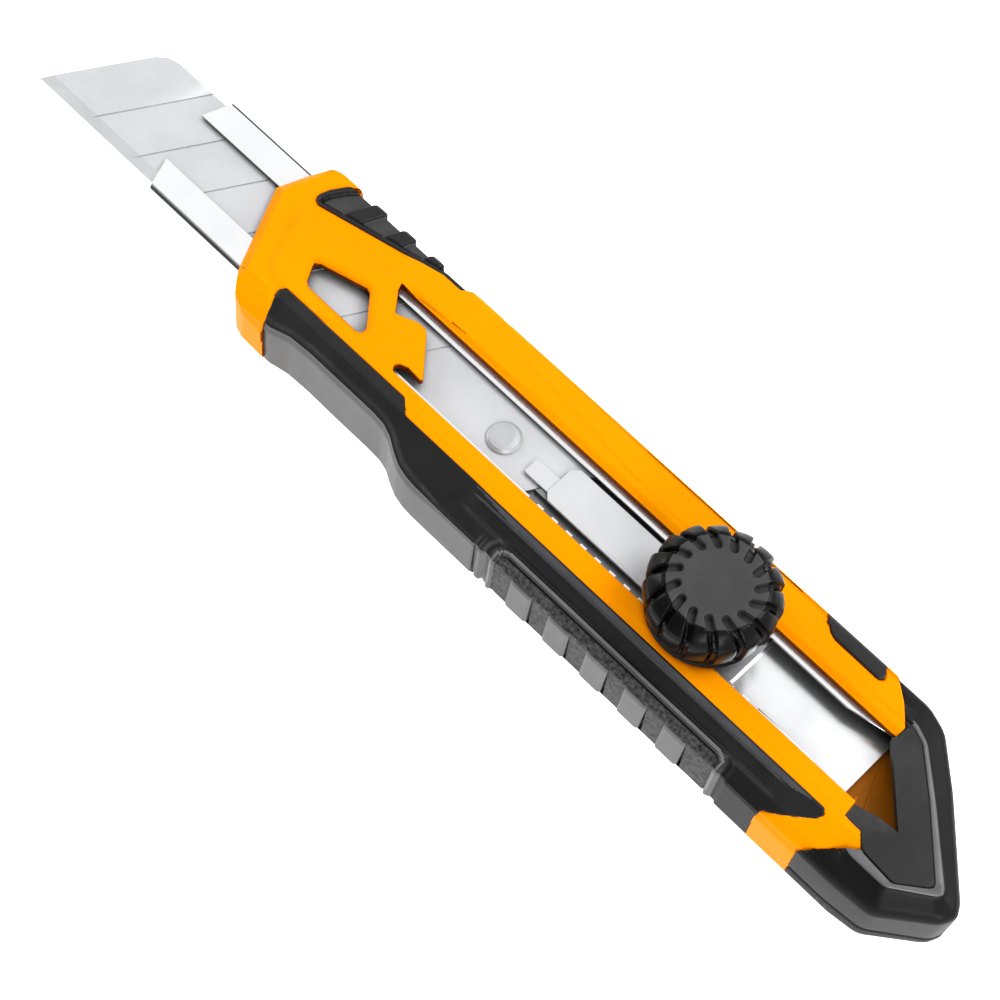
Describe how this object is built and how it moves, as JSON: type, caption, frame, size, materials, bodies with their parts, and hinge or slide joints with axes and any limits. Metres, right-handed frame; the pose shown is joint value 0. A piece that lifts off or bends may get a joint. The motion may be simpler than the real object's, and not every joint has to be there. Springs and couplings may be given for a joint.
{
  "type": "snap off knife",
  "caption": "Snap-off utility knife with an open-fronted handle, a steel blade channel, a sliding blade carrier and a screw lock knob.",
  "frame": {"origin": "centre of the bounding box, on the back face that the knife lies on", "axes": "+X along the blade towards its tip, +Y towards the finger grip and the cutting edge, +Z out of the front face towards the lock knob"},
  "size_m": [0.1886, 0.029, 0.0242],
  "materials": {
    "orange_abs": "satin moulded ABS",
    "grip_rubber": "fine matte elastomer",
    "pad_rubber": "smooth satin elastomer",
    "cap_plastic": "fine textured nylon",
    "stainless": "polished stainless sheet",
    "blade_steel": "ground carbon tool steel",
    "slider_steel": "plated pressed steel",
    "plate_grey": "light grey acetal",
    "knob_plastic": "matte top, glossy sides",
    "brass": "turned brass"
  },
  "bodies": {
    "handle": {"handle_body": "orange_abs", "finger_grip": "grip_rubber", "grip_pads": "pad_rubber", "thumb_rest": "grip_rubber", "rear_inlay": "grip_rubber", "blade_channel": "stainless"},
    "end_cap": {"end_cap": "cap_plastic"},
    "slider": {"slide_carrier": "slider_steel", "blade": "blade_steel", "blade_stud": "slider_steel", "hold_down_plate": "plate_grey", "lock_bolt": "slider_steel"},
    "clamp": {"pressure_washer": "slider_steel", "spring_washer": "slider_steel"},
    "lock_knob": {"knob": "knob_plastic", "knob_insert": "brass"}
  },
  "joints": [
    {"name": "blade_slide", "type": "slide", "parent": "handle", "child": "slider", "axis": [1, 0, 0], "range_m": [-0.0275, 0.049]},
    {"name": "clamp_lift", "type": "slide", "parent": "slider", "child": "clamp", "axis": [0, 0, 1], "range_m": [0, 0.0012]},
    {"name": "knob_turn", "type": "hinge", "parent": "clamp", "child": "lock_knob", "pos_m": [-0.0401, -0.0013, 0.018], "axis": [0, 0, 1], "range_deg": [0, 540]},
    {"name": "cap_pull", "type": "slide", "parent": "handle", "child": "end_cap", "axis": [-1, 0, 0], "range_m": [0, 0.03]}
  ],
  "couplings": [
    {"joint": "clamp_lift", "follows": "knob_turn", "m_per_rad": 0.00012732}
  ]
}
